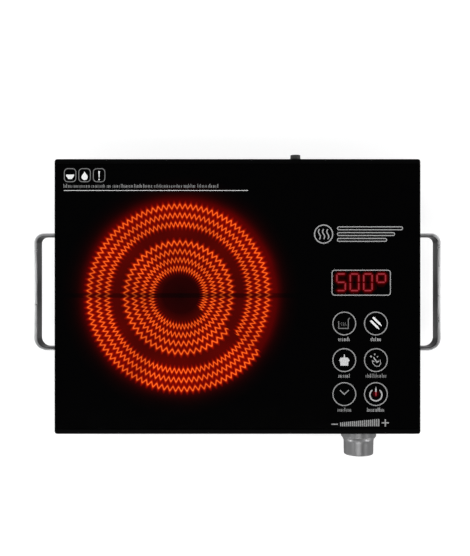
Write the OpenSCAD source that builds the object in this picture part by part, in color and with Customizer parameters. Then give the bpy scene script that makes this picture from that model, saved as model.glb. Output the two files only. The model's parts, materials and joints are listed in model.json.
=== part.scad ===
/* [Plate] */
// Width of the edge frame, left to right
plate_w = 366; // [350:1:380]
// Depth of the edge frame, front to rear
plate_d = 275; // [270:1:290]
// Thickness of the glass
glass_t = 4; // [3:0.5:4]
// Width of the frame strip in front of and behind the glass
strip_w = 4.5; // [3:0.5:6]
// Width of the frame lip at the left and right of the glass
lip_w = 1.2; // [1:0.1:2]

/* [Body] */
// Height of the glass top over the table
top_z = 68; // [67:1:70]
// Height of the feet under the housing
foot_h = 8; // [6:1:8]
// Wall thickness of the housing
wall = 2.5; // [2:0.5:3]
// How far the edge frame reaches past the housing wall
overhang = 4; // [3:0.5:5]
// How far the edge frame stands proud of the glass
proud = 0.2; // [0.1:0.1:0.5]

/* [Heater] */
// Heater centre, to the right of the plate centre
heater_x = -57; // [-60:1:-55]
// Heater centre, behind the plate centre
heater_y = 1; // [-5:1:5]
// Outer radius of the heater dish
dish_r = 112; // [108:1:113]

/* [Controls] */
// Centre of the control column, to the right of the plate centre
column_x = 122.6; // [120:0.2:124]
// Distance between the two columns of touch keys
key_pitch = 31.6; // [30:0.2:33]
// Rows of touch keys, from the plate centre
key_rows = [-27, -63.6, -97.6]; // [-110:0.2:0]
// Centre of the display behind the plate centre
display_y = 14.2; // [10:0.2:16]

/* [Knob] */
// Knob axis, to the right of the plate centre
knob_x = 125.6; // [120:0.2:128]
// Height of the knob axis
knob_z = 38; // [34:1:40]
// Radius of the knob's skirt
skirt_r = 18; // [17.5:0.5:19]
// Radius of the knob's grip where it leaves the skirt
grip_r = 15.4; // [14:0.1:16]
// How far the knob reaches in front of the edge frame
knob_reach = 26.2; // [24:0.2:30]

/* [Handles] */
// Distance from the plate centre to the outer face of a handle
handle_reach = 206; // [200:1:210]
// Centre of the handles, behind the plate centre
handle_y = 4.4; // [0:0.2:8]
// Half the distance between the centres of a handle's legs
leg_y = 57.7; // [50:0.1:60]
// Thickness of the handle strip
strip_t = 3.5; // [3:0.1:4]
// Height of the handle strip
strip_h = 20; // [16:1:20]
// Height of the top edge of a handle
handle_top = 58; // [56:1:58]

/* [Fan] */
// Side of the square fan frame
fan_w = 80; // [80:1:82]
// Fan centre, to the right of the plate centre
fan_x = 114; // [113:1:116]
// Fan centre, behind the plate centre
fan_y = 74; // [72:1:76]

/* [Hidden] */
$fn = 64;

// Body
body_w = plate_w - 2 * overhang;
body_d = plate_d - 2 * overhang;
body_top = top_z - 8;
inner_w = body_w - 2 * wall;
inner_d = body_d - 2 * wall;
floor_t = 2;
floor_z = foot_h + floor_t;
ledge_w = 6;
seal_t = 0.8;
glass_z = top_z - glass_t;
glass_w = plate_w - 2 * lip_w - 0.4;
glass_d = plate_d - 2 * strip_w - 0.4;
vent_w = 3;
foot_x = 162;
foot_y = 114;
cover_screw_spots = [for (x = [-172, 0, 172], y = [-127, 127]) [x, y]];

// Cord gland in the rear wall
gland_x = 61;
gland_z = 26;
gland_bore_r = 3.6;
gland_reach = 14;

// The row origin is the middle of the footprint, at the feet
front_reach = plate_d / 2 + knob_reach;
rear_reach = body_d / 2 + gland_reach;
plate_y = (front_reach - rear_reach) / 2;

// Heater stack
dish_z = 36;
dish_t = 0.8;
disc_t = 10;
disc_z = dish_z + dish_t;
ring_z = disc_z + disc_t;
insulation_r = dish_r - dish_t;
ring_in_r = insulation_r - 9;
rim_h = 18;
limiter_z = 57;
limiter_r = 2.5;
terminal_angle = -35;
terminal_z = 40;
tab_z = terminal_z + 5;
tab_t = 0.8;

// Control stack
board_t = 1.6;
holder_z = 50;
holder_t = 2;
control_z = holder_z + holder_t;
holder_size = [96, 144];
control_size = [86, 134];
control_c = [123, -40];
parts_z = control_z + board_t;
key_spots = [for (y = key_rows, side = [-1, 1]) [column_x + side * key_pitch / 2, y]];

// Power stack
power_size = [78, 130];
power_c = [123, -53];
power_z = 18;
entry_x = -12;
power_top = power_z + board_t;
power_screw_x = [-32, 32];
power_screw_y = [-56, 56];
power_screw_spots = [for (x = power_screw_x, y = power_screw_y) [power_c[0] + x, power_c[1] + y]];
holder_post_x = [77.5, 168.5];
holder_post_y = [-106, 26];
holder_post_spots = [for (x = holder_post_x, y = holder_post_y) [x, y]];

// Fan stack
fan_h = 25;
fan_z = floor_z + 2;
fan_bore_r = 38.5;
fan_hole = 35.75;
pin_r = 1.5;

// Encoder and knob
front_wall_y = -body_d / 2;
shaft_r = 3;
bushing_r = 3.5;
encoder_depth = 7;
encoder_back = front_wall_y + wall + encoder_depth + board_t;
nut_t = 2;
knob_back = front_wall_y - 2;
knob_front = -plate_d / 2 - knob_reach;
knob_len = knob_back - knob_front;
skirt_len = 9.8;
flare_angle = 42;
fillet_r = 7;
tip_round = 1.5;
dish_depth = 0.5;

// ---- helpers -------------------------------------------------------------

// Moves a piece from the plate's centre to the row's frame
module from_plate(p = [0, 0, 0]) {
    translate([p[0], p[1] + plate_y, p[2]]) children();
}

module rounded_rect(w, d, r) {
    square([w - 2 * r, d], center = true);
    square([w, d - 2 * r], center = true);
    for (x = [-1, 1], y = [-1, 1])
        translate([x * (w / 2 - r), y * (d / 2 - r)]) circle(r);
}

module slab(w, d, h, r) {
    linear_extrude(h) rounded_rect(w, d, r);
}

module block(w, d, h) {
    translate([-w / 2, -d / 2, 0]) cube([w, d, h]);
}

module tube(r, inner, h) {
    difference() {
        cylinder(r = r, h = h);
        translate([0, 0, -1]) cylinder(r = inner, h = h + 2);
    }
}

// Outline of a square-edged slab whose two top corners are cut at 45 degrees
module chamfer_outline(w, h, cut) {
    polygon([[-w / 2, 0], [w / 2, 0], [w / 2, h - cut], [w / 2 - cut, h],
        [cut - w / 2, h], [-w / 2, h - cut]]);
}

// Slab with rounded corners and chamfered top edges
module chamfered_slab(w, d, h, r, cut) {
    intersection() {
        slab(w, d, h, r);
        translate([0, d, 0]) rotate([90, 0, 0]) linear_extrude(2 * d) chamfer_outline(w, h, cut);
        translate([-w, 0, 0]) rotate([90, 0, 90]) linear_extrude(2 * w) chamfer_outline(d, h, cut);
    }
}

// Pan-head screw pointing down, with its head resting at z = 0
module screw(r, len, head_r, head_h) {
    difference() {
        union() {
            cylinder(r = head_r, h = head_h);
            translate([0, 0, -len]) cylinder(r = r, h = len);
        }
        translate([0, 0, head_h]) cube([head_r * 1.2, 0.8, head_h], center = true);
        translate([0, 0, head_h]) cube([0.8, head_r * 1.2, head_h], center = true);
    }
}

function unit(v) = v / norm(v);

// Points of a smooth route through the corner points
function route(points, steps) = concat(
    [for (i = [0:len(points) - 2], s = [0:steps - 1])
        let (p0 = points[max(i - 1, 0)], p1 = points[i], p2 = points[i + 1],
            p3 = points[min(i + 2, len(points) - 1)], t = s / steps)
        0.5 * (2 * p1 + (p2 - p0) * t + (2 * p0 - 5 * p1 + 4 * p2 - p3) * t * t
            + (3 * p1 - p0 - 3 * p2 + p3) * t * t * t)],
    [points[len(points) - 1]]);

// Wire of radius r swept along the route, with a ring of corners at each point
module wire(points, r, sides = 8) {
    path = route(points, 5);
    last = len(path) - 1;
    rings = [for (i = [0:last])
        let (along = unit(path[min(i + 1, last)] - path[max(i - 1, 0)]),
            side = unit(cross(along, [0.31, 0.23, 0.92])), up = cross(side, along))
        for (k = [0:sides - 1])
            path[i] + r * (cos(360 * k / sides) * side + sin(360 * k / sides) * up)];
    walls = [for (i = [0:last - 1], k = [0:sides - 1])
        let (a = i * sides + k, b = i * sides + (k + 1) % sides) [a, b, b + sides, a + sides]];
    ends = [[for (k = [sides - 1:-1:0]) k], [for (k = [0:sides - 1]) last * sides + k]];
    polyhedron(rings, concat(walls, ends));
}

// ---- plate and case ------------------------------------------------------

module glass_plate() {
    color("#050505") from_plate([0, 0, glass_z]) chamfered_slab(glass_w, glass_d, glass_t, 2.4, 0.4);
}

module glass_seal() {
    color("#303030") from_plate([0, 0, glass_z - seal_t]) linear_extrude(seal_t) difference() {
        rounded_rect(glass_w - 2, glass_d - 2, 2);
        rounded_rect(glass_w - 7, glass_d - 7, 1);
    }
}

module bezel_frame() {
    color("#1c1c1e") from_plate([0, 0, body_top]) difference() {
        chamfered_slab(plate_w, plate_d, top_z + proud - body_top, 3, 0.6);
        translate([0, 0, glass_z - seal_t - body_top]) slab(glass_w + 0.4, glass_d + 0.4, 9, 2.4);
        translate([0, 0, -1]) slab(plate_w - 2 * (lip_w + ledge_w), plate_d - 2 * (strip_w + ledge_w), 9, 3);
    }
}

// Upright slots cut through a wall that lies across Y, clear of the middle screw boss
module wall_slots(xs, y) {
    for (x = xs) if (abs(x) > 8) translate([x - vent_w / 2, y - 2 * wall, 20]) cube([vent_w, 4 * wall, 28]);
}

module housing() {
    color("#161616") from_plate() difference() {
        union() {
            difference() {
                translate([0, 0, foot_h]) slab(body_w, body_d, body_top - foot_h, 6);
                translate([0, 0, foot_h - 1]) slab(inner_w, inner_d, body_top, 3.5);
            }
            for (p = cover_screw_spots) translate([p[0], p[1], floor_z]) intersection() {
                cylinder(r = 5, h = body_top - floor_z);
                translate([-p[0], -p[1], 0]) block(inner_w + 1, inner_d + 1, body_top);
            }
        }
        for (p = cover_screw_spots) translate([p[0], p[1], floor_z - 1]) cylinder(r = 1.5, h = 21);
        wall_slots([-148:8:36], body_d / 2);
        wall_slots([80:8:152], body_d / 2);
        translate([gland_x, body_d / 2 - 5, gland_z]) rotate([-90, 0, 0]) cylinder(r = 6, h = 10);
        translate([knob_x, front_wall_y + 5, knob_z]) rotate([90, 0, 0]) cylinder(r = bushing_r, h = 10);
        for (side = [-1, 1], end = [-1, 1]) translate([side * body_w / 2, handle_y + end * leg_y, 0]) {
            translate([-6, -strip_t / 2, handle_top - strip_h]) cube([12, strip_t, strip_h]);
            translate([-6, -end * 12, handle_top - strip_h / 2]) rotate([0, 90, 0]) cylinder(r = 2, h = 12);
        }
    }
}

// Straight vent slots in the floor, clipped to a round patch under the heater
module floor_slots() {
    translate([heater_x, heater_y, 0]) intersection() {
        tube(75, 14, 40);
        for (x = [-70:10:70], y = [-80, 8]) translate([x - vent_w / 2, y, 0]) cube([vent_w, 72, 40]);
    }
}

// Ring slots under the fan, split by four spokes
module fan_grille() {
    translate([fan_x, fan_y, 0]) difference() {
        for (r = [12:6:36]) tube(r + vent_w / 2, r - vent_w / 2, 40);
        for (a = [45, 135]) rotate(a) translate([-45, -2, -1]) cube([90, 4, 42]);
    }
}

module bottom_cover() {
    color("#1a1a1a") from_plate() difference() {
        union() {
            translate([0, 0, foot_h]) slab(inner_w - 0.2, inner_d - 0.2, floor_t, 3.4);
            for (p = power_screw_spots)
                translate([p[0], p[1], foot_h]) cylinder(r = 3.5, h = power_z - foot_h);
            for (p = holder_post_spots)
                translate([p[0], p[1], foot_h]) cylinder(r = 3.5, h = holder_z - foot_h);
            for (x = [-1, 1], y = [-1, 1])
                translate([fan_x + x * fan_hole, fan_y + y * fan_hole, foot_h])
                    cylinder(r = 4, h = fan_z - foot_h);
        }
        floor_slots();
        fan_grille();
        for (p = power_screw_spots) translate([p[0], p[1], power_z - 7]) cylinder(r = 1.5, h = 10);
        for (p = holder_post_spots) translate([p[0], p[1], holder_z - 9]) cylinder(r = 1.5, h = 10);
        for (x = [-1, 1], y = [-1, 1]) {
            translate([fan_x + x * fan_hole, fan_y + y * fan_hole, 0]) cylinder(r = 2, h = 20);
            translate([x * foot_x, y * foot_y, 0]) cylinder(r = 3, h = 20);
        }
        for (p = cover_screw_spots) translate([p[0], p[1], 0]) cylinder(r = 1.5, h = 20);
        translate([gland_x, inner_d / 2 - 18, 0]) for (x = [-8, 8])
            translate([x, 0, 0]) cylinder(r = 1.5, h = 20);
    }
}

// Push-in rubber foot: pad, stem through the floor and barb above it
module foot(x, y) {
    color("#101010") from_plate([x, y, 0]) rotate_extrude()
        polygon([[0, 1], [6, 1], [7, 0], [10, 0], [11, 1], [10.2, foot_h], [3, foot_h],
            [3, floor_z], [4.2, floor_z], [2.6, floor_z + 3], [0, floor_z + 3]]);
}

module foot_front_left() { foot(-foot_x, -foot_y); }
module foot_front_right() { foot(foot_x, -foot_y); }
module foot_rear_left() { foot(-foot_x, foot_y); }
module foot_rear_right() { foot(foot_x, foot_y); }

module cover_screws() {
    color("silver") for (p = cover_screw_spots)
        from_plate([p[0], p[1], foot_h]) rotate([180, 0, 0]) screw(1.5, 14, 3, 1.8);
}

// ---- handles -------------------------------------------------------------

// Cross-section of the handle strip, centred
module strip_section() {
    rounded_rect(strip_t, strip_h, 0.9);
}

// Bent strip handle on the right, tighter at its rear corner; the left one is its mirror image
module handle() {
    rear_bend = 8;
    front_bend = 11;
    mid_x = handle_reach - strip_t / 2;
    tab_x = inner_w / 2 - strip_t;
    for (bend = [[0, rear_bend], [1, front_bend]]) let (bend_r = bend[1]) mirror([0, bend[0], 0]) {
        translate([mid_x - bend_r, leg_y - bend_r, 0]) rotate_extrude(angle = 90)
            translate([bend_r, 0]) strip_section();
        translate([tab_x, leg_y, 0]) rotate([90, 0, 90])
            linear_extrude(mid_x - bend_r - tab_x) strip_section();
        difference() {
            translate([tab_x, leg_y - 20, -strip_h / 2 + 1]) cube([strip_t, 20, strip_h - 2]);
            translate([tab_x - 1, leg_y - 12, 0]) rotate([0, 90, 0]) cylinder(r = 2, h = strip_t + 2);
        }
    }
    translate([mid_x, leg_y - rear_bend, 0]) rotate([90, 0, 0])
        linear_extrude(2 * leg_y - rear_bend - front_bend) strip_section();
}

module right_handle() {
    color("#b8babd") from_plate([0, handle_y, handle_top - strip_h / 2]) handle();
}

module left_handle() {
    color("#b8babd") from_plate([0, handle_y, handle_top - strip_h / 2]) mirror([1, 0, 0]) handle();
}

module handle_screws() {
    color("silver") for (side = [-1, 1], end = [-1, 1])
        from_plate([side * body_w / 2, handle_y + end * (leg_y - 12), handle_top - strip_h / 2])
            rotate([0, side * 90, 0]) screw(2, 7, 3.6, 2.2);
}

// ---- heater --------------------------------------------------------------

module at_heater(z) {
    from_plate([heater_x, heater_y, z]) children();
}

module heater_dish() {
    color("silver") at_heater(dish_z) rotate_extrude($fn = 96)
        polygon([[0, 0], [dish_r, 0], [dish_r, rim_h - dish_t], [dish_r + 1.5, rim_h - dish_t],
            [dish_r + 1.5, rim_h], [dish_r - dish_t, rim_h], [dish_r - dish_t, dish_t], [0, dish_t]]);
}

module insulation_disc() {
    color("#d8d4c8") at_heater(disc_z) cylinder(r = insulation_r, h = disc_t, $fn = 96);
}

module insulation_ring() {
    color("#cfc8b4") at_heater(ring_z) difference() {
        tube(insulation_r, ring_in_r, glass_z - ring_z, $fn = 96);
        translate([0, 0, limiter_z - ring_z]) rotate([0, 90, 0]) cylinder(r = limiter_r, h = 2 * dish_r);
    }
}

// Spiral strip on edge, folded in and out across its track
module ribbon(r0, r1, turns, folds, fold_depth) {
    thickness = 0.5;
    height = 6;
    steps = 2 * folds * turns;
    function track(i, shift) =
        let (a = 360 * i / (2 * folds),
            r = r0 + (r1 - r0) * i / steps + (i % 2 == 0 ? fold_depth : -fold_depth) / 2 + shift)
        [r * cos(a), r * sin(a)];
    linear_extrude(height) polygon(concat(
        [for (i = [0:steps]) track(i, thickness)],
        [for (i = [steps:-1:0]) track(i, -thickness)]));
}

module outer_ribbon() {
    color("#c8381c") at_heater(ring_z) ribbon(68, 95, 3, 60, 4);
}

module inner_ribbon() {
    color("#c8381c") at_heater(ring_z) ribbon(24, 58, 4, 32, 4);
}

module limiter_rod() {
    color("#e6e6e6") at_heater(limiter_z) translate([-92, 0, 0]) rotate([0, 90, 0])
        cylinder(r = limiter_r, h = dish_r + 2.5 + 92);
}

module limiter_switch() {
    color("#f0ece0") at_heater(limiter_z) translate([dish_r + 2.5, 0, 0]) {
        translate([0, -13, -12]) cube([13, 26, 18]);
        for (y = [-8, 8]) translate([13, y - 3, -10]) cube([8, 6, tab_t]);
    }
}

module heater_terminal() {
    color("#efe9dc") at_heater(0) rotate(terminal_angle) translate([dish_r + 0.2, 0, 0]) {
        translate([0, -13, terminal_z]) cube([11, 26, 10]);
        for (y = [-7, 7]) translate([11, y - 3, tab_z]) cube([7, 6, tab_t]);
    }
}

// Bent leaf that stands on the floor and presses the dish up to the glass
module heater_spring(angle) {
    t = 1;
    rise = dish_z - floor_z;
    color("#9a9da0") at_heater(floor_z) rotate(angle) translate([86, 8, 0]) rotate([90, 0, 0])
        linear_extrude(16) polygon([[-16, 0], [0, 0], [10, rise - t], [22, rise - t], [22, rise],
            [9.3, rise], [-0.7, t], [-16, t]]);
}

module heater_spring_front() { heater_spring(-80); }
module heater_spring_rear() { heater_spring(70); }
module heater_spring_left() { heater_spring(180); }

// ---- fan -----------------------------------------------------------------

module at_fan(z) {
    from_plate([fan_x, fan_y, z]) children();
}

module fan_frame() {
    color("#202020") at_fan(fan_z) {
        difference() {
            slab(fan_w, fan_w, fan_h, 5);
            translate([0, 0, -1]) cylinder(r = fan_bore_r, h = fan_h + 2);
            for (x = [-1, 1], y = [-1, 1])
                translate([x * fan_hole, y * fan_hole, -1]) cylinder(r = 2, h = fan_h + 2);
            for (a = [0, 90, 180, 270]) rotate(a)
                translate([-22, fan_w / 2 - 6, 4]) cube([44, 7, fan_h - 8]);
            translate([0, 0, 4]) tube(100, 40.5, fan_h - 8);
        }
        difference() {
            union() {
                cylinder(r = 17, h = 3);
                cylinder(r = 4, h = 17);
                for (a = [0, 90, 180, 270]) rotate(a) translate([10, -2, 0]) cube([29.5, 4, 3]);
            }
            translate([0, 0, -1]) cylinder(r = pin_r + 0.05, h = 20);
        }
    }
}

module fan_winding() {
    color("#b5672c") at_fan(fan_z + 5) difference() {
        union() {
            cylinder(r = 8, h = 9);
            for (a = [0, 90]) rotate(a) translate([-13, -4, 0]) cube([26, 8, 9]);
            intersection() {
                tube(14, 12, 9);
                for (a = [0, 90]) rotate(a) translate([-15, -8, 0]) cube([30, 16, 9]);
            }
        }
        translate([0, 0, -1]) cylinder(r = 4, h = 11);
    }
}

module fan_rotor() {
    hub_r = 17;
    tip_r = 37.5;
    hub_h = 18;
    color("#2b2b2b") at_fan(fan_z + 4.5) union() {
        difference() {
            cylinder(r = hub_r, h = hub_h);
            translate([0, 0, -1]) cylinder(r = hub_r - 1.8, h = hub_h - 0.8);
        }
        translate([0, 0, -3]) cylinder(r = pin_r, h = hub_h + 2);
        for (i = [0:6]) rotate(i * 360 / 7) intersection() {
            tube(tip_r, hub_r - 0.9, hub_h);
            translate([(hub_r + tip_r) / 2, 0, hub_h / 2]) rotate([42, 0, 0])
                cube([tip_r - hub_r + 6, 1.6, 21], center = true);
        }
    }
}

module fan_screws() {
    color("silver") for (x = [-1, 1], y = [-1, 1])
        at_fan(fan_z + fan_h) translate([x * fan_hole, y * fan_hole, 0]) screw(2, fan_h + 3, 3.5, 2.2);
}

// ---- power board ---------------------------------------------------------

module on_power(x, y) {
    from_plate([power_c[0] + x, power_c[1] + y, power_top]) children();
}

module power_board() {
    color("#6b5a2a") from_plate([power_c[0], power_c[1], power_z]) difference() {
        slab(power_size[0], power_size[1], board_t, 1.5);
        for (x = power_screw_x, y = power_screw_y) translate([x, y, -1]) cylinder(r = 1.5, h = 4);
    }
}

module heat_sink() {
    color("#b9bcc0") on_power(20, -14) difference() {
        block(26, 62, 25);
        for (x = [-9.5:5:11]) translate([x - 1.5, -32, 4]) cube([3, 64, 22]);
    }
}

module triac() {
    color("#181818") on_power(5.6, -14) {
        translate([-2.2, -5, 4]) cube([3.6, 10, 15]);
        for (y = [-2.5, 0, 2.5]) translate([-1, y - 0.4, 0]) cube([0.8, 0.8, 4]);
    }
}

module relay() {
    color("#1d4f8c") on_power(-24, -14) chamfered_slab(16, 20, 16, 1, 0.6);
}

module transformer() {
    color("#c9a227") on_power(-20, 13.5) {
        block(22, 20, 3);
        translate([0, 0, 3]) block(18, 13, 12);
        difference() {
            translate([0, 0, 3]) block(24, 6, 14);
            translate([0, 0, 3]) block(18, 13, 12);
        }
    }
}

module filter_capacitor() {
    color("#d9b310") on_power(-23, 37.5) chamfered_slab(12, 26, 18, 1, 0.6);
}

module electrolytic_capacitors() {
    color("#20304e") for (x = [-9, 5]) on_power(x, 38) difference() {
        cylinder(r = 5, h = 18);
        translate([0, 0, 1.2]) tube(6, 4.6, 0.8);
        translate([-6, -0.3, 17.6]) cube([12, 0.6, 1]);
    }
}

module fuse() {
    color("#d0d0c0") on_power(26, 34) {
        for (y = [-11, 7]) translate([-3, y, 0]) cube([6, 4, 3]);
        translate([0, -11, 5.5]) rotate([-90, 0, 0]) cylinder(r = 2.5, h = 22);
    }
}

module buzzer() {
    color("#0e0e0e") on_power(-24, -44) difference() {
        cylinder(r = 6, h = 9);
        translate([0, 0, 7]) cylinder(r = 1, h = 3);
    }
}

module mains_terminal() {
    color("#e8e8e0") on_power(entry_x, 57) difference() {
        block(26, 12, 12);
        for (x = [-8, 0, 8]) translate([x, 1, 6]) {
            cylinder(r = 2, h = 8);
            rotate([-90, 0, 0]) cylinder(r = 2.2, h = 8);
        }
    }
}

module board_screws() {
    color("silver") for (p = power_screw_spots)
        from_plate([p[0], p[1], power_top]) screw(1.5, 7, 3, 1.8);
}

// ---- control board -------------------------------------------------------

module board_holder() {
    color("#26262a") from_plate([control_c[0], control_c[1], holder_z]) difference() {
        slab(holder_size[0], holder_size[1], holder_t + 2, 3);
        translate([0, 0, holder_t]) slab(control_size[0], control_size[1], 5, 1.5);
        translate([0, 0, -1]) slab(control_size[0] - 14, control_size[1] - 14, 9, 2);
        for (x = holder_post_x, y = holder_post_y)
            translate([x - control_c[0], y - control_c[1], -1]) {
                cylinder(r = 1.5, h = 9);
                translate([0, 0, holder_t + 1]) cylinder(r = 3.4, h = 9);
            }
    }
}

module holder_screws() {
    color("silver") for (p = holder_post_spots)
        from_plate([p[0], p[1], control_z]) screw(1.5, 9, 2.8, 1.6);
}

module control_board() {
    color("#12502c") from_plate([control_c[0], control_c[1], control_z]) difference() {
        slab(control_size[0] - 0.4, control_size[1] - 0.4, board_t, 1.3);
        for (x = holder_post_x, y = holder_post_y)
            translate([x - control_c[0], y - control_c[1], -1]) cylinder(r = 3.6, h = 4);
    }
}

module controller_chip() {
    color("#151515") from_plate([column_x, key_rows[1], parts_z]) {
        block(9, 9, 1.6);
        for (a = [0, 90, 180, 270]) rotate(a) for (x = [-3.5:1:3.5])
            translate([x - 0.2, 4.5, 0]) cube([0.4, 1.2, 0.5]);
    }
}

module display_module() {
    color("#0c0c0c") from_plate([column_x, display_y, parts_z]) difference() {
        block(58, 25, glass_z - parts_z - 0.5);
        for (i = [0:3])
            translate([(i - 1.5) * 13.4 - 5.4, -9.5, glass_z - parts_z - 0.9]) cube([10.8, 19, 1]);
    }
}

// Coiled touch springs with a flat pad that presses on the underside of the glass
module touch_springs() {
    h = glass_z - parts_z;
    wire_r = 0.7;
    coils = 6;
    pitch = (h - 1) / coils;
    color("#c0a060") for (p = key_spots) from_plate([p[0], p[1], parts_z]) {
        rotate_extrude() polygon(concat(
            [for (i = [0:2 * coils]) [5 + (i % 2 == 0 ? 0 : wire_r), i * pitch / 2]],
            [for (i = [2 * coils:-1:0]) [4 + (i % 2 == 0 ? 0 : wire_r), i * pitch / 2]]));
        translate([0, 0, h - 1]) tube(6, 3, 1);
    }
}

module power_led() {
    color("#d01010") from_plate([key_spots[5][0], key_spots[5][1], parts_z]) {
        cylinder(r = 1.9, h = 1);
        cylinder(r = 1.5, h = 4);
        translate([0, 0, 4]) sphere(1.5);
    }
}

// ---- encoder and knob ----------------------------------------------------

// Places a piece on the knob's axis, with local +Z pointing out of the front wall
module on_knob_axis(y) {
    from_plate([knob_x, y, knob_z]) rotate([90, 0, 0]) children();
}

module encoder_board() {
    color("#12502c") on_knob_axis(encoder_back) difference() {
        slab(26, 24, board_t, 1);
        translate([0, 0, -1]) cylinder(r = shaft_r + 0.6, h = 4);
    }
}

module encoder_body() {
    color("#8f9398") on_knob_axis(front_wall_y + wall) difference() {
        union() {
            translate([0, 0, -encoder_depth]) block(12.4, 13.2, encoder_depth);
            cylinder(r = bushing_r, h = wall + nut_t + 3);
        }
        translate([0, 0, -8]) cylinder(r = shaft_r + 0.05, h = 20);
    }
}

module encoder_shaft() {
    color("#c8cacc") on_knob_axis(front_wall_y + wall) difference() {
        translate([0, 0, -6]) cylinder(r = shaft_r, h = 30);
        translate([-5, 1.5, 12]) cube([10, 5, 20]);
    }
}

module encoder_nut() {
    color("silver") on_knob_axis(front_wall_y) difference() {
        union() {
            cylinder(r = 6, h = 0.5);
            cylinder(r = 5.5, h = nut_t, $fn = 6);
        }
        translate([0, 0, -1]) cylinder(r = bushing_r, h = 5);
    }
}

// Half outline of the knob: a skirt that flares into a straight grip with a shallow dish in its front
function knob_outline() =
    let (tip_r = grip_r - 0.25, edge_r = skirt_r - 0.3,
        flare_len = (edge_r - grip_r - fillet_r * (1 - cos(flare_angle))) / tan(flare_angle),
        grip_z = skirt_len + flare_len + fillet_r * sin(flare_angle))
    concat([[0, 0], [skirt_r - 0.5, 0], [skirt_r, 0.5], [skirt_r, skirt_len - 0.5], [edge_r, skirt_len]],
        [for (a = [flare_angle:-6:0]) [grip_r + fillet_r * (1 - cos(a)), grip_z - fillet_r * sin(a)]],
        [for (a = [0:15:90]) [tip_r, knob_len] - tip_round * [1 - cos(a), 1 - sin(a)]],
        [[tip_r - 2.5, knob_len], [tip_r - 3.1, knob_len - dish_depth], [0, knob_len - dish_depth]]);

module control_knob() {
    bore_start = 12 - wall - 2;
    color("#9b9da0") on_knob_axis(knob_back) difference() {
        rotate_extrude() polygon(knob_outline());
        translate([0, 0, -1]) cylinder(r = 11, h = bore_start + 1);
        difference() {
            translate([0, 0, -1]) cylinder(r = shaft_r, h = 23.5);
            translate([-5, 1.5, bore_start]) cube([10, 5, 20]);
        }
    }
}

// ---- cord entry and wiring -----------------------------------------------

// Strain relief pressed into the rear wall; its bore takes the mains cord
module cord_gland() {
    color("#141414") from_plate([gland_x, inner_d / 2 - 3, gland_z]) rotate([-90, 0, 0])
        rotate_extrude() polygon([[gland_bore_r, 0], [8, 0], [8, 3], [6, 3], [6, 3 + wall], [9, 3 + wall],
            [9, 6 + wall], [6.4, 6 + wall], [6.2, 8 + wall], [5.2, 8 + wall], [5.2, 9.5 + wall],
            [6, 9.5 + wall], [5.8, 11.5 + wall], [4.8, 11.5 + wall], [4.8, 13 + wall],
            [5.4, 13 + wall], [5.2, 3 + wall + gland_reach], [gland_bore_r, 3 + wall + gland_reach]]);
}

module cord_clamp() {
    color("#e0e0dc") from_plate([gland_x, inner_d / 2 - 18, floor_z]) {
        difference() {
            block(24, 9, 5);
            translate([0, 0, 12]) rotate([90, 0, 0]) cylinder(r = 9, h = 20, center = true);
            for (x = [-8, 8]) translate([x, 0, -1]) cylinder(r = 1.5, h = 9);
        }
        for (x = [-8, 8]) translate([x, 0, -floor_t]) cylinder(r = 1.5, h = 9);
    }
}

// Three leads from the cord entry to the mains terminal
module mains_leads() {
    end_x = power_c[0] + entry_x;
    end_y = power_c[1] + 59.2;
    end_z = power_top + 6;
    color("#7a4a20") for (i = [-1, 0, 1]) from_plate() wire([
        [gland_x + 2.1 * i, inner_d / 2 - 4, gland_z],
        [gland_x + 2.1 * i, inner_d / 2 - 16, gland_z - 2],
        [gland_x + 2.6 * i, 80, 24],
        [gland_x + 2.6 * i, 36, 25],
        [74, 18.2 + 2.2 * i, 25],
        [end_x + 8 * i - 4, 18.2 + 2.2 * i, end_z],
        [end_x + 8 * i, end_y + 6.3, end_z],
        [end_x + 8 * i, end_y, end_z]], 1);
}

// Two leads from the power board to the heater's terminal
module heater_leads() {
    board_x = power_c[0] - 36;
    tab_reach = dish_r + 16;
    tab_side = 7;
    color("#c8c4b8") for (i = [-1, 1]) from_plate() wire([
        [board_x, -74 + 4 * i, power_top],
        [board_x, -74 + 4 * i, power_top + 9],
        [76, -74 + 4 * i, 36],
        [66, -73 + 4 * i, 44],
        [heater_x + tab_reach * cos(terminal_angle) - tab_side * i * sin(terminal_angle),
            heater_y + tab_reach * sin(terminal_angle) + tab_side * i * cos(terminal_angle),
            tab_z + tab_t + 1.4]], 1);
}

// Flat cable folded from the control board's left edge down to the power board
module control_ribbon() {
    color("#8f8f8f") from_plate([0, -36, 0]) rotate([90, 0, 0]) linear_extrude(14) polygon([
        [92, control_z], [92, 46], [88, 40], [88, power_top],
        [89, power_top], [89, 39.6], [93, 45.6], [93, control_z]]);
}

module encoder_ribbon() {
    color("#8f8f8f") from_plate([knob_x - 5, encoder_back, 0]) rotate([90, 0, 90]) linear_extrude(10)
        polygon([[0, 44], [4, 44], [24, 47], [24, control_z], [25, control_z], [25, 46], [4, 43], [0, 43]]);
}

glass_plate();
glass_seal();
bezel_frame();
housing();
bottom_cover();
foot_front_left();
foot_front_right();
foot_rear_left();
foot_rear_right();
cover_screws();
left_handle();
right_handle();
handle_screws();
heater_dish();
insulation_disc();
insulation_ring();
outer_ribbon();
inner_ribbon();
limiter_rod();
limiter_switch();
heater_terminal();
heater_spring_front();
heater_spring_rear();
heater_spring_left();
fan_frame();
fan_winding();
fan_rotor();
fan_screws();
power_board();
heat_sink();
triac();
relay();
transformer();
filter_capacitor();
electrolytic_capacitors();
fuse();
buzzer();
mains_terminal();
board_screws();
board_holder();
holder_screws();
control_board();
controller_chip();
display_module();
touch_springs();
power_led();
encoder_board();
encoder_body();
encoder_shaft();
encoder_nut();
control_knob();
cord_gland();
cord_clamp();
mains_leads();
heater_leads();
control_ribbon();
encoder_ribbon();
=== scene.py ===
"""Looks of the ceramic-glass hot plate: camera, light, materials, glass print and lit signs."""

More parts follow.
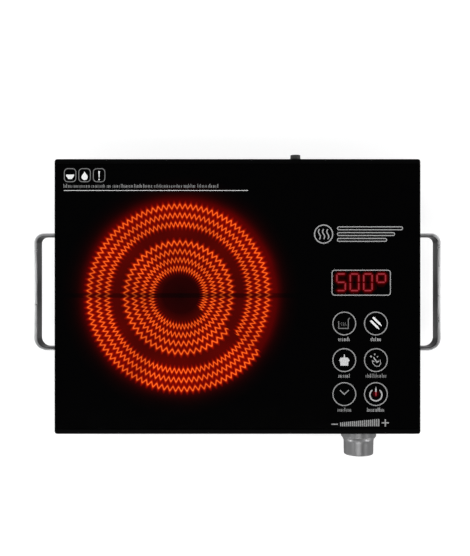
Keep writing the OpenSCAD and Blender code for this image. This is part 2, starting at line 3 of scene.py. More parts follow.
import json
import math
import random

import bmesh
import bpy
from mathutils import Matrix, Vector


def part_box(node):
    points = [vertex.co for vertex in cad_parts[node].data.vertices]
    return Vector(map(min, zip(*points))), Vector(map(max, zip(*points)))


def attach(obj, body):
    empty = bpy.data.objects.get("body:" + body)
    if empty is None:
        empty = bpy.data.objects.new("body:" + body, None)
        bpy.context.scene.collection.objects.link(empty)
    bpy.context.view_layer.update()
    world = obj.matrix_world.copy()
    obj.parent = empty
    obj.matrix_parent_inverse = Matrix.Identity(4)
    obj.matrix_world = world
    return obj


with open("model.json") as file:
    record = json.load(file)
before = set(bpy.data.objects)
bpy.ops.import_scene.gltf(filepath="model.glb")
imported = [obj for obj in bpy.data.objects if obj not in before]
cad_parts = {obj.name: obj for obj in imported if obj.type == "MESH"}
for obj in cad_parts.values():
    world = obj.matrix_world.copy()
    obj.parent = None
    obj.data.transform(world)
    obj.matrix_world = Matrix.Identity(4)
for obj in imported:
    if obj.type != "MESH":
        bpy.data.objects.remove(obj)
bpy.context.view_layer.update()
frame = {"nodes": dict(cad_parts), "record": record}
MM = 0.001
ROOT = "base"
TURN = 2 * math.pi

# ---- places, worked out from the frame ------------------------------------


def middle(node):
    """Centre of a node's box."""
    lo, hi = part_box(node)
    return (Vector(lo) + Vector(hi)) / 2


PLATE = middle("bezel_frame")
GLASS_TOP = Vector(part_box("glass_plate")[1]).z
HEATER = middle("insulation_ring")
KNOB = middle("control_knob")

# The keys lie over the touch springs; everything printed is in mm from the plate's centre
SPRING_LO, SPRING_HI = (Vector(c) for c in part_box("touch_springs"))
PAD_R = 6 * MM
KEY_STEP = 36.6
KEY_X = [(SPRING_LO.x + PAD_R - PLATE.x) / MM, (SPRING_HI.x - PAD_R - PLATE.x) / MM]
KEY_TOP = (SPRING_HI.y - PAD_R - PLATE.y) / MM
KEY_MID = KEY_TOP - KEY_STEP
KEY_BOTTOM = (SPRING_LO.y + PAD_R - PLATE.y) / MM
COLUMN_SHIFT, DISPLAY_SHIFT = 0.4, 0.7
COLUMN = sum(KEY_X) / 2 + COLUMN_SHIFT
DISPLAY = (COLUMN + DISPLAY_SHIFT, (middle("display_module").y - PLATE.y) / MM)

HANDLE_LO, HANDLE_HI = (Vector(c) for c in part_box("right_handle"))
LEG_INSET = 6 * MM
HANDLE_LOOP = Vector((HANDLE_LO.x + LEG_INSET, (HANDLE_LO.y + HANDLE_HI.y) / 2))

# ---- camera and light ------------------------------------------------------

CAMERA_HEIGHT = 0.8
FRAME_HEIGHT = 0.556
FRAME_MIDDLE = Vector((-0.0025, 0.0185))
SENSOR = 36

cam_data = bpy.data.cameras.new("camera")
cam_data.sensor_width = SENSOR
cam_data.lens = SENSOR * CAMERA_HEIGHT / FRAME_HEIGHT
cam_data.clip_start = 0.05
cam_data.clip_end = 50
camera = bpy.data.objects.new("camera", cam_data)
camera.location = (PLATE.x + FRAME_MIDDLE.x, PLATE.y + FRAME_MIDDLE.y, GLASS_TOP + CAMERA_HEIGHT)
bpy.context.scene.collection.objects.link(camera)
bpy.context.scene.camera = camera
bpy.context.scene.view_settings.view_transform = "Standard"


def fade_edges(data, edge):
    """Fade a light over a share of its width at each edge, so the glass mirrors no hard outline."""
    data.use_nodes = True
    nodes, links = data.node_tree.nodes, data.node_tree.links
    across = nodes.new("ShaderNodeSeparateXYZ")
    links.new(nodes.new("ShaderNodeNewGeometry").outputs["Parametric"], across.inputs[0])
    strength = nodes.new("ShaderNodeMath")
    strength.operation = "MULTIPLY"
    for index, axis in enumerate("XY"):
        inwards = nodes.new("ShaderNodeMath")
        inwards.operation = "PINGPONG"
        inwards.inputs[1].default_value = 0.5
        fade = nodes.new("ShaderNodeMapRange")
        fade.interpolation_type = "SMOOTHSTEP"
        fade.inputs["From Max"].default_value = edge
        links.new(across.outputs[axis], inwards.inputs[0])
        links.new(inwards.outputs[0], fade.inputs["Value"])
        links.new(fade.outputs[0], strength.inputs[index])
    links.new(strength.outputs[0], nodes["Emission"].inputs["Strength"])


def softbox(name, x, y, height, width, depth, watts, fade=0.0, aim=None):
    """A flat light that faces down or towards a point; its size is to where it has faded to half."""
    data = bpy.data.lights.new(name, "AREA")
    data.shape = "RECTANGLE"
    data.size = width / (1 - fade)
    data.size_y = depth / (1 - fade)
    data.energy = watts / (1 - fade) ** 2
    lamp = bpy.data.objects.new(name, data)
    lamp.location = (x, y, height)
    if aim is not None:
        lamp.rotation_euler = (aim - lamp.location).to_track_quat("-Z", "Y").to_euler()
    bpy.context.scene.collection.objects.link(lamp)
    if fade:
        fade_edges(data, fade)


NEAR_FADE, FAR_FADE = 0.25, 0.4
HIGH = 1.6
for side, name in ((1, "right"), (-1, "left")):
    softbox(f"light_{name}_near", side * 1.06, 0.42, HIGH, 0.60, 1.15, 6, NEAR_FADE)
    softbox(f"light_{name}_far", side * 1.95, 0.0, HIGH, 0.96, 2.04, 18, FAR_FADE)
softbox("light_front", -0.12, -1.05, HIGH, 0.95, 1.1, 18)
softbox("light_front_far", -0.25, -3.1, HIGH, 1.56, 1.44, 9.36, FAR_FADE)
softbox("light_rear", 0.0, 1.15, HIGH, 1.2, 1.0, 8)

# Two low lights make the bright spots on the knob's flare
LOW = 0.12
softbox("light_low_left", KNOB.x - 1.02, KNOB.y - 1.05, LOW, 0.40, 0.18, 5, aim=KNOB)
softbox("light_low_right", KNOB.x + 0.88, KNOB.y - 1.18, LOW, 0.40, 0.18, 6, aim=KNOB)


def studio_world():
    """Pale walls near the horizon that darken towards the zenith."""
    world = bpy.data.worlds.new("studio")
    world.use_nodes = True
    nt = world.node_tree
    background = nt.nodes["Background"]
    coords = nt.nodes.new("ShaderNodeTexCoord")
    split = nt.nodes.new("ShaderNodeSeparateXYZ")
    ramp = nt.nodes.new("ShaderNodeValToRGB")
    wall, zenith = ramp.color_ramp.elements
    wall.position = 0.30
    wall.color = (0.80, 0.805, 0.81, 1)
    zenith.position = 0.90
    zenith.color = (0.012, 0.012, 0.013, 1)
    nt.links.new(coords.outputs["Generated"], split.inputs[0])
    nt.links.new(split.outputs["Z"], ramp.inputs["Fac"])
    nt.links.new(ramp.outputs["Color"], background.inputs["Color"])
    bpy.context.scene.world = world


studio_world()

# ---- material builder ------------------------------------------------------


class Surface:
    """One Principled material whose colour, roughness and bump come from procedural patterns."""

    def __init__(self, name, color, roughness, **sockets):
        self.mat = bpy.data.materials.new(name)
        self.mat.use_nodes = True
        self.nt = self.mat.node_tree
        self.bsdf = self.nt.nodes["Principled BSDF"]
        self.bsdf.inputs["Base Color"].default_value = (*color, 1)
        self.bsdf.inputs["Roughness"].default_value = roughness
        for key, value in sockets.items():
            self.bsdf.inputs[key.replace("_", " ")].default_value = value
        self.coords = self.nt.nodes.new("ShaderNodeTexCoord").outputs["Object"]
        self.normal = None

    def node(self, kind, inputs=(), **settings):
        """A new node with its settings, and its inputs linked or set by name or number."""
        made = self.nt.nodes.new(kind)
        for key, value in settings.items():
            setattr(made, key, value)
        for key, value in dict(inputs).items():
            if isinstance(value, bpy.types.NodeSocket):
                self.nt.links.new(value, made.inputs[key])
            else:
                made.inputs[key].default_value = value
        return made

    def math(self, operation, a, b=0.0, c=0.0):
        return self.node("ShaderNodeMath", {0: a, 1: b, 2: c}, operation=operation).outputs[0]

    def noise(self, scale, stretch=(1, 1, 1), detail=3.0):
        """Noise whose grain is 1/scale metres, longer along an axis whose stretch is under 1."""
        place = self.node("ShaderNodeMapping", {"Vector": self.coords, "Scale": stretch})
        inputs = {"Vector": place.outputs[0], "Scale": scale, "Detail": detail}
        return self.node("ShaderNodeTexNoise", inputs).outputs[0]

    def remap(self, value, low, high, start=0.3, end=0.7):
        """Low up to start, high from end on, and a straight line between them."""
        inputs = {0: value, 1: start, 2: end, 3: low, 4: high}
        return self.node("ShaderNodeMapRange", inputs).outputs[0]

    def ramp(self, value, stops):
        made = self.node("ShaderNodeValToRGB", {0: value})
        elements = made.color_ramp.elements
        while len(elements) < len(stops):
            elements.new(0.5)
        for element, (position, color) in zip(elements, stops):
            element.position = position
            element.color = (*color, 1)
        return made.outputs[0]

    def drive(self, socket, value):
        """Link a pattern to a socket of the shader."""
        self.nt.links.new(value, self.bsdf.inputs[socket])
        return self

    def tint(self, value, first, second):
        return self.drive("Base Color", self.ramp(value, [(0.3, first), (0.7, second)]))

    def rough(self, value, low, high):
        return self.drive("Roughness", self.remap(value, low, high))

    def soft_edges(self, radius):
        """Rounds the shading of sharp edges over this radius."""
        self.normal = self.node("ShaderNodeBevel", {"Radius": radius}, samples=4).outputs[0]
        return self.drive("Normal", self.normal)

    def bump(self, value, depth, strength=1.0):
        inputs = {"Height": value, "Distance": depth, "Strength": strength}
        if self.normal is not None:
            inputs["Normal"] = self.normal
        self.normal = self.node("ShaderNodeBump", inputs).outputs[0]
        return self.drive("Normal", self.normal)


def moulded(name, color, roughness=0.5, grain=1800, depth=0.00006, edges=0.0, uneven=0.075,
            **sockets):
    """Moulded plastic, paint or rubber: fine grain, faint blotches in gloss and shade."""
    s = Surface(name, color, roughness, **sockets)
    if edges:
        s.soft_edges(edges)
    s.tint(s.noise(45), [c * 0.94 for c in color], [min(1, c * 1.06) for c in color])
    s.rough(s.noise(140, detail=6), roughness - uneven, roughness + uneven)
    return s.bump(s.noise(grain, detail=2), depth, 0.5)


def sheet_metal(name, color, roughness, stretch, scale=900, depth=0.00001, edges=0.0, **sockets):
    """Metal with fine drawn or brushed lines along the axes whose stretch is small."""
    s = Surface(name, color, roughness, Metallic=1.0, **sockets)
    if edges:
        s.soft_edges(edges)
    lines = s.noise(scale, stretch, detail=4)
    s.tint(s.noise(30), [c * 0.9 for c in color], [min(1, c * 1.06) for c in color])
    s.rough(lines, roughness - 0.06, roughness + 0.1)
    return s.bump(lines, depth, 0.4)


# ---- glass with the heat glow ---------------------------------------------

COILS = [
    {"inner": 68, "outer": 95, "turns": 3, "folds": 104},
    {"inner": 24, "outer": 58, "turns": 4, "folds": 58},
]
FOLD_REACH = 1.9
COIL_START = -35 / 360
ROD_LO, ROD_HI = (Vector(c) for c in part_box("limiter_rod"))

# Colour of the haze from the heater's centre out to HAZE_R, and of a ribbon's light out to LIGHT_R
HAZE_R = 125
HAZE_STOPS = [
    (0.0, (0.010, 0, 0)), (0.14, (0.02, 0, 0)), (0.20, (0.060, 0.001, 0)), (0.50, (0.085, 0.001, 0)),
    (0.72, (0.120, 0.001, 0)), (0.768, (0.086, 0, 0)), (0.784, (0.052, 0, 0)), (0.80, (0.030, 0, 0)),
    (0.816, (0.0165, 0, 0)), (0.832, (0.009, 0, 0)), (0.856, (0.0044, 0, 0)), (0.888, (0.0018, 0, 0)),
    (0.928, (0.0006, 0, 0)), (0.96, (0, 0, 0)),
]
LIGHT_R = 6
LIGHT_STOPS = [
    (0.0, (1.0, 0.20, 0.02)), (0.09, (1.0, 0.115, 0.01)), (0.20, (0.42, 0.017, 0.001)),
    (0.42, (0.13, 0.002, 0)), (0.75, (0.03, 0, 0)), (1.0, (0, 0, 0)),
]


def ribbon_distance(s, radius, angle, coil):
    """Millimetres from a point to the nearest pass of one spiral ribbon, and 1 where it exists."""
    pitch = (coil["outer"] - coil["inner"]) / coil["turns"]
    wave = s.math("SINE", s.math("MULTIPLY", angle, TURN * coil["folds"]))
    fold = s.math("MULTIPLY", wave, FOLD_REACH)
    level = s.math("SUBTRACT", s.math("SUBTRACT", radius, coil["inner"]), fold)
    passes = s.math("SUBTRACT", s.math("DIVIDE", level, pitch), angle)
    nearest = s.math("ROUND", passes)
    distance = s.math("MULTIPLY", s.math("ABSOLUTE", s.math("SUBTRACT", passes, nearest)), pitch)
    along = s.math("ADD", nearest, angle)
    started = s.math("GREATER_THAN", along, 0.0)
    exists = s.math("MULTIPLY", started, s.math("LESS_THAN", along, coil["turns"]))
    return distance, exists


def black_glass(name):
    """Black ceramic glass; the glow of the ribbons shows through it as its own light."""
    s = Surface(name, (0.0005, 0.0005, 0.00055), 0.04, IOR=1.5)
    to_heater = (-HEATER.x, -HEATER.y, 0)
    offset = s.node("ShaderNodeVectorMath", {0: s.coords, 1: to_heater}, operation="ADD")
    x, y, _ = s.node("ShaderNodeSeparateXYZ", {0: offset.outputs[0]}).outputs
    radius = s.math("SQRT", s.math("ADD", s.math("MULTIPLY", x, x), s.math("MULTIPLY", y, y)))
    radius = s.math("MULTIPLY", radius, 1 / MM)
    turn = s.math("DIVIDE", s.math("ARCTAN2", y, x), TURN)
    angle = s.math("FRACT", s.math("ADD", turn, 1 - COIL_START))

    light = s.ramp(s.math("DIVIDE", radius, HAZE_R), HAZE_STOPS)
    for coil in COILS:
        distance, exists = ribbon_distance(s, radius, angle, coil)
        hot = s.ramp(s.math("DIVIDE", distance, LIGHT_R), LIGHT_STOPS)
        shown = s.node("ShaderNodeVectorMath", {0: hot, "Scale": exists}, operation="SCALE")
        both = s.node("ShaderNodeVectorMath", {0: light, 1: shown.outputs[0]}, operation="ADD")
        light = both.outputs[0]

    # The limiter's rod hides some of the glow, and the rest is slightly uneven
    rod_y = (ROD_LO.y + ROD_HI.y) / 2 - HEATER.y
    rod_r = (ROD_HI.y - ROD_LO.y) / 2
    off_rod = s.math("ABSOLUTE", s.math("SUBTRACT", y, rod_y))
    on_rod = s.remap(off_rod, 0.42, 1.0, rod_r * 0.75, rod_r * 1.1)
    uneven = s.math("MULTIPLY", s.remap(s.noise(26, detail=2), 0.72, 1.12), on_rod)
    shaded = s.node("ShaderNodeVectorMath", {0: light, "Scale": uneven}, operation="SCALE")
    s.drive("Emission Color", shaded.outputs[0])
    s.bsdf.inputs["Emission Strength"].default_value = 1.0
    s.rough(s.noise(60, detail=5), 0.035, 0.06)
    return s.bump(s.noise(240, detail=1), 0.000004, 0.25)


# ---- every slot of the record ----------------------------------------------


def heated_steel(name):
    """Dish sheet steel with straw and blue heat colours."""
    s = sheet_metal(name, (0.52, 0.50, 0.46), 0.34, (1, 1, 1), scale=500, depth=0.00002)
    return s.drive("Base Color", s.ramp(s.noise(22, detail=5), [
        (0.25, (0.50, 0.48, 0.45)), (0.5, (0.52, 0.43, 0.30)), (0.62, (0.36, 0.26, 0.22)),
        (0.75, (0.24, 0.27, 0.36))]))


def fibre(name, color):
    """Pressed mineral fibre: matt, crumbly and a little stained."""
    s = Surface(name, color, 0.95)
    s.tint(s.noise(60, detail=8), [c * 0.75 for c in color], color)
    return s.bump(s.noise(700, (1, 1, 3), detail=8), 0.0005, 0.7)


def glowing_alloy(name):
    """Red-hot ribbon, brighter in some places than in others."""
    s = Surface(name, (0.16, 0.11, 0.09), 0.6, Metallic=0.6)
    heat = s.noise(70, detail=2)
    s.drive("Emission Color", s.ramp(heat, [(0.3, (0.9, 0.05, 0.005)), (0.7, (1.0, 0.20, 0.03))]))
    s.bsdf.inputs["Emission Strength"].default_value = 3.0
    s.rough(s.noise(400), 0.5, 0.7)
    return s.bump(s.noise(900, (1, 1, 0.2)), 0.00005, 0.6)


def laminate(name, mask, copper):
    """Printed board: solder mask over a pattern of tracks and pads."""
    s = Surface(name, mask, 0.42, Coat_Weight=0.3)
    paler = (*[c * 1.25 for c in mask], 1)
    grid = s.node("ShaderNodeTexBrick", {
        "Vector": s.coords, "Scale": 260.0, "Color1": (*mask, 1), "Color2": paler,
        "Mortar": (*copper, 1), "Mortar Size": 0.06, "Brick Width": 1.7, "Row Height": 0.5})
    s.drive("Base Color", grid.outputs["Color"])
    s.rough(s.noise(300), 0.34, 0.5)
    return s.bump(grid.outputs["Fac"], 0.00004, 0.6)


def wound(name, color, axis_stretch, scale):
    """Windings: round wires side by side, with painted shade in the grooves between them."""
    s = Surface(name, color, 0.35, Metallic=0.7)
    place = s.node("ShaderNodeMapping", {"Vector": s.coords, "Scale": axis_stretch})
    wires = s.node("ShaderNodeTexWave", {"Vector": place.outputs[0], "Scale": scale, "Distortion": 1.2},
                   bands_direction="Z")
    # Painted shade: each wire darkens towards the grooves between the wires, where the bump is low.
    s.tint(wires.outputs["Fac"], [c * 0.55 for c in color], color)
    s.rough(s.noise(200), 0.28, 0.45)
    return s.bump(wires.outputs["Fac"], 0.0002, 0.8)


def clear_tube(name, color):
    """Clear glass or quartz with faint draw marks."""
    s = Surface(name, color, 0.08, Transmission_Weight=0.85, IOR=1.46)
    s.rough(s.noise(80), 0.05, 0.16)
    return s.bump(s.noise(120), 0.00002, 0.3)


def taped(name, color):
    """Layers of tape, with their edges as faint steps and painted shade at the foot of each step."""
    s = Surface(name, color, 0.3, Coat_Weight=0.4)
    bands = s.node("ShaderNodeTexWave", {"Vector": s.coords, "Scale": 90.0, "Distortion": 0.6},
                   bands_direction="Z", wave_profile="SAW")
    # Painted shade: darker where the bump is low, just under each step's edge.
    s.tint(bands.outputs["Fac"], [c * 0.8 for c in color], color)
    s.rough(s.noise(200), 0.24, 0.4)
    return s.bump(bands.outputs["Fac"], 0.0001, 0.5)


def lit_lens(name):
    """Lit red lens, paler in places."""
    s = Surface(name, (0.35, 0.01, 0.01), 0.2)
    lit = s.ramp(s.noise(300), [(0.3, (1.0, 0.03, 0.02)), (0.7, (1.0, 0.10, 0.06))])
    s.drive("Emission Color", lit)
    s.bsdf.inputs["Emission Strength"].default_value = 4.0
    s.rough(s.noise(300), 0.15, 0.3)
    return s


def flat_cable(name):
    """Parallel insulated wires side by side, with painted shade in the grooves between them."""
    s = Surface(name, (0.28, 0.28, 0.28), 0.5)
    wires = s.node("ShaderNodeTexWave", {"Vector": s.coords, "Scale": 160.0}, bands_direction="Y")
    # Painted shade: darker where the bump is low, in the grooves between the wires.
    s.tint(wires.outputs["Fac"], (0.16, 0.16, 0.16), (0.32, 0.32, 0.32))
    s.rough(s.noise(300), 0.42, 0.58)
    return s.bump(wires.outputs["Fac"], 0.0003, 0.8)


def turned_silver(name):
    """Satin knob: fine lathe lines round its axis."""
    return sheet_metal(name, (0.174, 0.174, 0.176), 0.38, (0.06, 1, 0.06), scale=2600,
                       depth=0.000006, edges=0.0009, Specular_Tint=(0.5, 0.5, 0.5, 1))


HANDLE_ROUND = 1.6 * MM


def handle_steel(name):
    """Brushed strip with lines along it; its inside faces get painted shade, a near-black colour that
    stands in for the dark surroundings they mirror.
    """
    s = sheet_metal(name, (0.56, 0.565, 0.57), 0.30, (0.03, 0.03, 1), scale=2400,
                    depth=0.000005, edges=HANDLE_ROUND, Specular_Tint=(0.42, 0.42, 0.42, 1))
    place = s.node("ShaderNodeSeparateXYZ", {0: s.coords}).outputs
    # The rounded normal spreads the painted shade over the strip's edges, as a gradient from dark to
    # light.
    rounded = s.node("ShaderNodeBevel", {"Radius": HANDLE_ROUND}, samples=8).outputs[0]
    face = s.node("ShaderNodeSeparateXYZ", {0: rounded}).outputs
    sign = s.math("SIGN", place[0])
    to_x = s.math("SUBTRACT", HANDLE_LOOP.x, s.math("ABSOLUTE", place[0]))
    to_y = s.math("SUBTRACT", HANDLE_LOOP.y, place[1])
    inward_x = s.math("MULTIPLY", s.math("MULTIPLY", face[0], sign), to_x)
    inward = s.math("ADD", inward_x, s.math("MULTIPLY", face[1], to_y))
    square = s.math("ADD", s.math("MULTIPLY", to_x, to_x), s.math("MULTIPLY", to_y, to_y))
    length = s.math("SQRT", square)
    on_leg = s.math("POWER", s.math("DIVIDE", s.math("ABSOLUTE", to_y), length), 4.0)
    towards = s.math("MULTIPLY_ADD", on_leg, 0.6, s.math("DIVIDE", inward, length))
    # Painted shade: faces that look in towards the loop, the legs most of all, are darkened.
    inside = s.remap(towards, 0, 1, -0.2, 0.95)
    bright = s.ramp(s.noise(30), [(0.3, (0.66, 0.665, 0.67)), (0.7, (0.76, 0.765, 0.77))])
    steel_with_painted_shade = s.node("ShaderNodeMix", data_type="RGBA")
    s.nt.links.new(inside, steel_with_painted_shade.inputs[0])
    s.nt.links.new(bright, steel_with_painted_shade.inputs[6])
    # Near-black colour of the painted shade on the inside faces
    steel_with_painted_shade.inputs[7].default_value = (0.045, 0.045, 0.046, 1)
    return s.drive("Base Color", steel_with_painted_shade.outputs[2])


SLOTS = {
    "black_glass": black_glass,
    "silicone": lambda name: moulded(name, (0.03, 0.03, 0.03), 0.6, grain=600),
    "frame_black": lambda name: moulded(name, (0.0008, 0.0008, 0.0009), 0.42, grain=2600,
                                        depth=0.00002, edges=0.0006, Specular_IOR_Level=0.02),
    "case_black": lambda name: moulded(name, (0.013, 0.013, 0.0135), 0.46, grain=2200,
                                       depth=0.00005, edges=0.0008, uneven=0.025),
    "foot_rubber": lambda name: moulded(name, (0.012, 0.012, 0.012), 0.75, grain=900,
                                        depth=0.0001, edges=0.0006),
    "screw_steel": lambda name: sheet_metal(name, (0.55, 0.55, 0.56), 0.3, (1, 1, 1), edges=0.0003),
    "handle_steel": handle_steel,
    "knob_silver": turned_silver,
    "dish_steel": heated_steel,
    "insulation": lambda name: fibre(name, (0.66, 0.62, 0.54)),
    "heating_alloy": glowing_alloy,
    "quartz_tube": lambda name: clear_tube(name, (0.9, 0.9, 0.88)),
    "white_ceramic": lambda name: moulded(name, (0.80, 0.77, 0.70), 0.55, grain=1200, edges=0.0004),
    "spring_steel": lambda name: sheet_metal(name, (0.34, 0.35, 0.36), 0.32, (1, 0.1, 1), edges=0.0002),
    "fan_plastic": lambda name: moulded(name, (0.02, 0.02, 0.022), 0.42, edges=0.0004),
    "copper_wire": lambda name: wound(name, (0.60, 0.24, 0.09), (1, 1, 1), 420.0),
    "power_laminate": lambda name: laminate(name, (0.22, 0.15, 0.05), (0.30, 0.22, 0.10)),
    "control_laminate": lambda name: laminate(name, (0.01, 0.09, 0.035), (0.03, 0.16, 0.07)),
    "sink_aluminium": lambda name: sheet_metal(name, (0.60, 0.61, 0.62), 0.36, (1, 0.05, 1),
                                               edges=0.0003),
    "chip_black": lambda name: moulded(name, (0.02, 0.02, 0.02), 0.55, grain=3000, edges=0.0003),
    "relay_blue": lambda name: moulded(name, (0.02, 0.09, 0.28), 0.35, edges=0.0004),
    "tape_yellow": lambda name: taped(name, (0.62, 0.40, 0.03)),
    "capacitor_yellow": lambda name: moulded(name, (0.70, 0.46, 0.02), 0.3, edges=0.0004),
    "capacitor_blue": lambda name: moulded(name, (0.02, 0.04, 0.11), 0.25, edges=0.0003),
    "fuse_glass": lambda name: clear_tube(name, (0.85, 0.86, 0.80)),
    "terminal_white": lambda name: moulded(name, (0.74, 0.74, 0.70), 0.4, edges=0.0004),
    "display_black": lambda name: moulded(name, (0.012, 0.012, 0.012), 0.3, edges=0.0003),
    "touch_brass": lambda name: sheet_metal(name, (0.62, 0.47, 0.22), 0.28, (1, 1, 1)),
    "led_red": lit_lens,
    "encoder_metal": lambda name: sheet_metal(name, (0.40, 0.41, 0.42), 0.38, (1, 1, 1), edges=0.0003),
    "shaft_steel": lambda name: sheet_metal(name, (0.58, 0.58, 0.59), 0.25, (0.05, 1, 0.05), scale=2500),
    "wire_brown": lambda name: moulded(name, (0.20, 0.075, 0.02), 0.45),
    "wire_sleeve": lambda name: moulded(name, (0.58, 0.54, 0.46), 0.85, grain=2200, depth=0.0001),
    "ribbon_grey": flat_cable,
    "gland_black": lambda name: moulded(name, (0.012, 0.012, 0.012), 0.5, edges=0.0005),
}

slot_of = {p["node"]: p["material_slot"] for p in frame["record"]["subparts"]}
finish_of = {slot: SLOTS[slot](slot).mat for slot in sorted(set(slot_of.values()))}
for node_name, node_obj in frame["nodes"].items():
    node_obj.data.materials.clear()
    node_obj.data.materials.append(finish_of[slot_of[node_name]])

# ---- print on the glass ------------------------------------------------------


def arc(cx, cy, r, start, end, steps=24):
    """Points along an arc; angles are in degrees, counter-clockwise from +X."""
    angles = [math.radians(start + (end - start) * i / steps) for i in range(steps + 1)]
    return [(cx + r * math.cos(a), cy + r * math.sin(a)) for a in angles]


def rounded_box(cx, cy, w, h, r):
    """Outline of a box round a centre, with corners of radius r."""
    corners = [(1, 1, 0), (-1, 1, 90), (-1, -1, 180), (1, -1, 270)]
    return [p for sx, sy, a in corners
            for p in arc(cx + sx * (w / 2 - r), cy + sy * (h / 2 - r), r, a, a + 90, 6)]


class Print:
    """Thin raised ink on the glass, drawn in millimetres from the plate's centre."""

    SINK = 0.02  # how far its lower face lies below the glass
    SHARPEST = 0.35  # limits how far a mitred corner may reach

    def __init__(self, name, lift=0.06):
        self.name = name
        self.lift = lift
        self.bm = bmesh.new()

    def corner(self, x, y, top):
        """A new vertex on the upper or the lower face."""
        z = GLASS_TOP + (self.lift if top else -self.SINK) * MM
        return self.bm.verts.new((PLATE.x + x * MM, PLATE.y + y * MM, z))

    def fill(self, outline):
        """A solid patch inside an outline."""
        top = [self.corner(x, y, True) for x, y in outline]
        low = [self.corner(x, y, False) for x, y in outline]
        self.bm.faces.new(top)
        self.bm.faces.new(low[::-1])
        for i in range(len(outline)):
            j = (i + 1) % len(outline)
            self.bm.faces.new([top[j], top[i], low[i], low[j]])

    def line(self, points, width, closed=False):
        """A stroke of even width with mitred corners."""
        n, rails = len(points), []
        for i, (x, y) in enumerate(points):
            before = points[(i - 1) % n] if closed or i else None
            after = points[(i + 1) % n] if closed or i < n - 1 else None
            ways = []
            for a, b in ((before, (x, y)), ((x, y), after)):
                if a is not None and b is not None:
                    ways.append((Vector(b) - Vector(a)).normalized())
            along = sum(ways, Vector((0, 0))).normalized()
            half = width / 2 / max(self.SHARPEST, along.dot(ways[0]))
            side = Vector((-along.y, along.x)) * half
            rails.append([self.corner(x + s * side.x, y + s * side.y, t)
                          for s, t in ((1, True), (-1, True), (-1, False), (1, False))])
        spans = zip(rails, rails[1:] + rails[:1]) if closed else zip(rails, rails[1:])
        for a, b in spans:
            for k in range(4):
                self.bm.faces.new([a[k], a[(k + 1) % 4], b[(k + 1) % 4], b[k]])
        if not closed:
            self.bm.faces.new(rails[0][::-1])
            self.bm.faces.new(rails[-1])

    def disc(self, cx, cy, r, steps=24):
        self.fill(arc(cx, cy, r, 0, 360 - 360 / steps, steps - 1))

    def ring(self, cx, cy, r, width, steps=64):
        self.line(arc(cx, cy, r - width / 2, 0, 360 - 360 / steps, steps - 1), width, closed=True)

    def box(self, x0, y0, x1, y1):
        self.fill([(x0, y0), (x1, y0), (x1, y1), (x0, y1)])

    def made(self, material):
        """Turn the drawing into a piece that rides on the base."""
        bmesh.ops.recalc_face_normals(self.bm, faces=self.bm.faces)
        mesh = bpy.data.meshes.new(self.name)
        self.bm.to_mesh(mesh)
        self.bm.free()
        mesh.materials.append(material)
        obj = bpy.data.objects.new(self.name, mesh)
        bpy.context.scene.collection.objects.link(obj)
        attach(obj, ROOT)
        return obj


def ink(name, color):
    """Fired enamel ink: matt, with a fine grain and slightly uneven cover."""
    s = Surface(name, color, 0.5)
    s.tint(s.noise(900, detail=4), [c * 0.86 for c in color], color)
    s.rough(s.noise(500), 0.42, 0.6)
    return s.bump(s.noise(2500), 0.00002, 0.4).mat


# The inks from the brightest to the dimmest, and the widths of the lines
BRIGHT_INK = ink("bright_ink", (0.74, 0.74, 0.74))
WHITE_INK = ink("white_ink", (0.50, 0.50, 0.50))
SCALE_INK = ink("scale_ink", (0.36, 0.36, 0.36))
GREY_INK = ink("grey_ink", (0.30, 0.30, 0.30))
RING_INK = ink("ring_ink", (0.235, 0.235, 0.235))
SOFT_INK = ink("soft_ink", (0.17, 0.17, 0.17))
DIM_INK = ink("dim_ink", (0.13, 0.13, 0.13))
LINE = 1.0
THIN = 0.85


def mock_text(sheet, x, y, width, height, seed):
    """Row of plain upright ticks, as dense as small print, that spells nothing."""
    rng = random.Random(seed)
    at, end = x, x + width
    while at < end - 0.4:
        wide = rng.choice((0.55, 0.55, 0.85))
        tall = height * rng.choice((0.68, 0.68, 0.68, 1.0))
        sheet.box(at, y, min(at + wide, end), y + tall)
        at += wide + rng.choice((0.65, 0.65, 1.1))


def bowl(sheet, cx, cy, size):
    """Solid half-round bowl on a foot."""
    w = size / 2
    foot = [(cx - 0.45 * w, cy - 0.75 * w), (cx + 0.45 * w, cy - 0.75 * w)]
    right = arc(cx, cy + 0.35 * w, w, -50, 0, 8)
    left = arc(cx, cy + 0.35 * w, w, 180, 230, 8)
    sheet.fill(foot + right + left)


def drop(sheet, cx, cy, size):
    """Solid drop with its point up."""
    w = size / 2
    point = [(cx + 0.22 * w, cy + 0.7 * w), (cx, cy + 1.1 * w), (cx - 0.22 * w, cy + 0.7 * w)]
    sheet.fill(arc(cx, cy - 0.25 * w, 0.75 * w, 145, 395, 20) + point)


def taper(sheet, cx, cy, size):
    """Tapered bar over a dot."""
    w = size / 2
    low = [(cx - 0.08 * w, cy - 0.4 * w), (cx + 0.08 * w, cy - 0.4 * w)]
    high = [(cx + 0.2 * w, cy + 1.2 * w), (cx - 0.2 * w, cy + 1.2 * w)]
    sheet.fill(low + high)
    sheet.disc(cx, cy - 0.85 * w, 0.2 * w, 12)


# At the rear left: three plain signs, a row of mock text and a rule
SIGN_W, SIGN_H, SIGN_GAP = 12.4, 13.9, 2.1
SIGN_X, SIGN_Y = -167.4, 121.3
DRAWING_DROP, DRAWING_SIZE = 0.8, 8.2
NOTE_X, NOTE_Y, NOTE_H = -174.0, 108.8, 3.7
NOTE_WORDS = (8.0, 17.5, 14.0, 4.5, 7.0, 12.0, 18.5, 15.5, 11.5, 12.5, 9.5, 10.5)
NOTE_SPACE = 1.3
NOTE_SEED = 11
RULE_X0, RULE_X1 = -173.6, 10.5
RULE_Y0, RULE_Y1 = 105.76, 106.24

